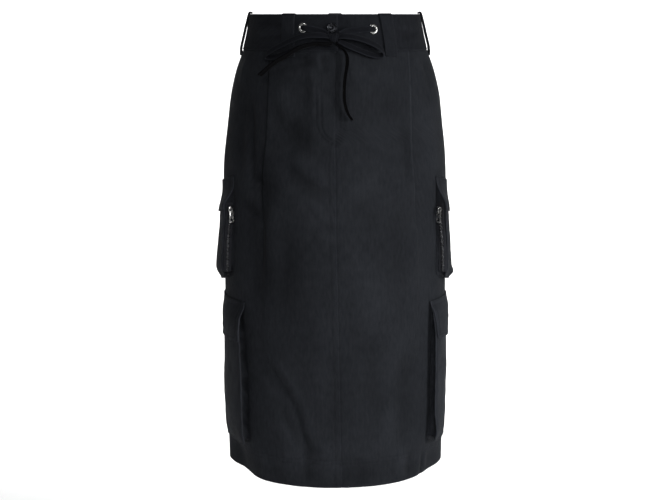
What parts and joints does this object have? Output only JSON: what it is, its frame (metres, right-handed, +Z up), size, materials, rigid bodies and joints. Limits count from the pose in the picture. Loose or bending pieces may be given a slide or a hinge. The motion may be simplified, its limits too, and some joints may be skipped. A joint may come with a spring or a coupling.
{
  "type": "cargo utility skirt",
  "caption": "Knee-length cargo skirt with a drawcord waist, knife pleats at the front, and zipped and flapped bellows pockets down its sides, filled out as worn.",
  "frame": {"origin": "middle of the waist opening, halfway up the waistband, where the wearer's waist holds the skirt up", "axes": "+Z up the wearer, -Y to the wearer's front, +X to the wearer's left"},
  "size_m": [0.3565, 0.2688, 0.692],
  "materials": {
    "twill": "matte cotton twill",
    "band": "matte cotton twill, darker",
    "cord": "flat tape of the same cloth",
    "zip_tape": "woven tape with metal teeth",
    "steel": "bright nickel plate",
    "button": "dark burnished metal"
  },
  "bodies": {
    "skirt": {"front_panel_right": "twill", "front_panel_left": "twill", "back_panel": "twill", "waistband": "band", "pocket_upper_right": "twill", "pocket_upper_left": "twill", "flap_upper_right": "twill", "flap_upper_left": "twill", "pocket_lower_right": "twill", "pocket_lower_left": "twill", "flap_lower_right": "twill", "flap_lower_left": "twill", "zip_right": "zip_tape", "zip_left": "zip_tape", "slider_right": "steel", "slider_left": "steel", "belt_loop_front_right": "twill", "belt_loop_front_left": "twill", "belt_loop_side_right": "twill", "belt_loop_side_left": "twill", "belt_loop_back": "twill", "eyelet_right": "steel", "eyelet_left": "steel", "button": "button", "drawcord_knot": "cord", "drawcord_lead_right": "cord", "drawcord_lead_left": "cord", "drawcord_loop_right": "cord", "drawcord_loop_left": "cord", "drawcord_tail_right": "cord", "drawcord_tail_left": "cord"},
    "pull_right": {"zip_pull_right": "steel"},
    "pull_left": {"zip_pull_left": "steel"}
  },
  "joints": [
    {"name": "pull_swing_right", "type": "hinge", "parent": "skirt", "child": "pull_right", "pos_m": [-0.15226, -0.07033, -0.259], "axis": [-0.818, -0.5752, 0], "range_deg": [0, 135]},
    {"name": "pull_swing_left", "type": "hinge", "parent": "skirt", "child": "pull_left", "pos_m": [0.15226, -0.07033, -0.259], "axis": [-0.8181, 0.5751, 0], "range_deg": [0, 135]}
  ]
}
